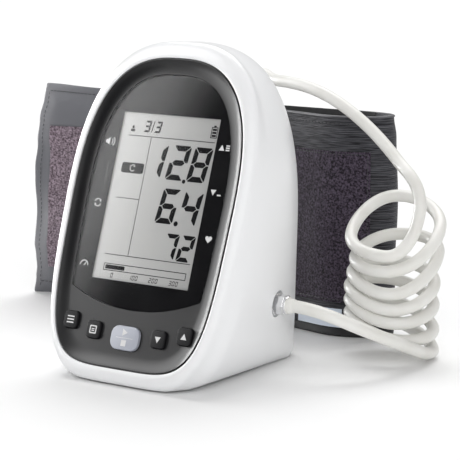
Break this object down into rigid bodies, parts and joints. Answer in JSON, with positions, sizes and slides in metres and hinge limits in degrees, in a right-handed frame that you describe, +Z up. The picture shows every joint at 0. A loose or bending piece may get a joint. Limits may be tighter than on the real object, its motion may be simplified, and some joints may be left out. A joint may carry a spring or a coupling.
{
  "type": "blood pressure monitor",
  "caption": "Upright upper-arm blood pressure monitor with an egg-shaped leaning display face, push keys, a coiled air hose on a pull-off plug and a folded cloth arm cuff.",
  "frame": {"origin": "on the table under the middle of the monitor's foot ring", "axes": "+Z up, +X to the user's right, +Y away from the user"},
  "size_m": [0.3674, 0.2384, 0.2063],
  "materials": {
    "white_casing": "glossy white",
    "graphite_bezel": "satin graphite",
    "window": "clear gloss",
    "black_mask": "matt black print",
    "lcd": "pale grey display",
    "light_guide": "clear gloss",
    "dark_key": "satin charcoal",
    "pale_key": "satin lavender grey",
    "inner_plastic": "matt",
    "black_plastic": "matt",
    "grey_rubber": "matt",
    "board": "satin green",
    "steel": "brushed",
    "nickel": "polished",
    "cell": "printed sleeve",
    "clear_tube": "semi-gloss",
    "hose": "semi-gloss off-white",
    "cuff_cloth": "brushed charcoal",
    "loop_cloth": "looped dark grey",
    "hook_cloth": "hooked purple grey",
    "label_cloth": "smooth pale blue",
    "bladder": "matt"
  },
  "bodies": {
    "monitor": {"casing_shell": "white_casing", "base_plate": "white_casing", "foot_ring": "grey_rubber", "base_screws": "steel", "battery_box": "inner_plastic", "aa_cells": "cell", "battery_contacts": "nickel", "speaker": "black_plastic", "bezel": "graphite_bezel", "display_window": "window", "window_mask": "black_mask", "lcd_glass": "lcd", "lcd_backlight": "light_guide", "lcd_holder": "inner_plastic", "zebra_strip": "grey_rubber", "main_board": "board", "key_board": "board", "board_screws": "steel", "key_switches": "black_plastic", "pump_cup": "grey_rubber", "pump_head": "inner_plastic", "pump_motor": "steel", "release_valve": "black_plastic", "pressure_sensor": "black_plastic", "air_socket": "inner_plastic", "socket_nut": "nickel", "air_tee": "inner_plastic", "inner_tubes": "clear_tube", "socket_tube": "clear_tube"},
    "battery_door": {"battery_door": "white_casing"},
    "mode_button": {"mode_button": "dark_key"},
    "memory_button": {"memory_button": "dark_key"},
    "start_stop_button": {"start_stop_button": "pale_key"},
    "down_button": {"down_button": "dark_key"},
    "up_button": {"up_button": "dark_key"},
    "hose_set": {"hose_plug": "hose", "hose_lead": "hose", "hose_coil": "hose", "hose_rise": "hose", "cuff_cover": "cuff_cloth", "cuff_bladder": "bladder", "cuff_loop_patch": "loop_cloth", "cuff_hook_patch": "hook_cloth", "cuff_label": "label_cloth", "cuff_port": "hose"}
  },
  "joints": [
    {"name": "mode_button_press", "type": "slide", "parent": "monitor", "child": "mode_button", "axis": [0, 0.9461, -0.3239], "range_m": [0, 0.001], "stiffness_N_per_m": 1200, "springref_m": -0.0006},
    {"name": "memory_button_press", "type": "slide", "parent": "monitor", "child": "memory_button", "axis": [0, 0.9461, -0.3239], "range_m": [0, 0.001], "stiffness_N_per_m": 1200, "springref_m": -0.0006},
    {"name": "start_stop_button_press", "type": "slide", "parent": "monitor", "child": "start_stop_button", "axis": [0, 0.9461, -0.3239], "range_m": [0, 0.001], "stiffness_N_per_m": 1200, "springref_m": -0.0006},
    {"name": "down_button_press", "type": "slide", "parent": "monitor", "child": "down_button", "axis": [0, 0.9461, -0.3239], "range_m": [0, 0.001], "stiffness_N_per_m": 1200, "springref_m": -0.0006},
    {"name": "up_button_press", "type": "slide", "parent": "monitor", "child": "up_button", "axis": [0, 0.9461, -0.3239], "range_m": [0, 0.001], "stiffness_N_per_m": 1200, "springref_m": -0.0006},
    {"name": "battery_door_slide", "type": "slide", "parent": "monitor", "child": "battery_door", "axis": [0, 1, 0], "range_m": [0, 0.008]},
    {"name": "hose_plug_pull", "type": "slide", "parent": "monitor", "child": "hose_set", "axis": [1, 0, 0], "range_m": [0, 0.012]}
  ]
}
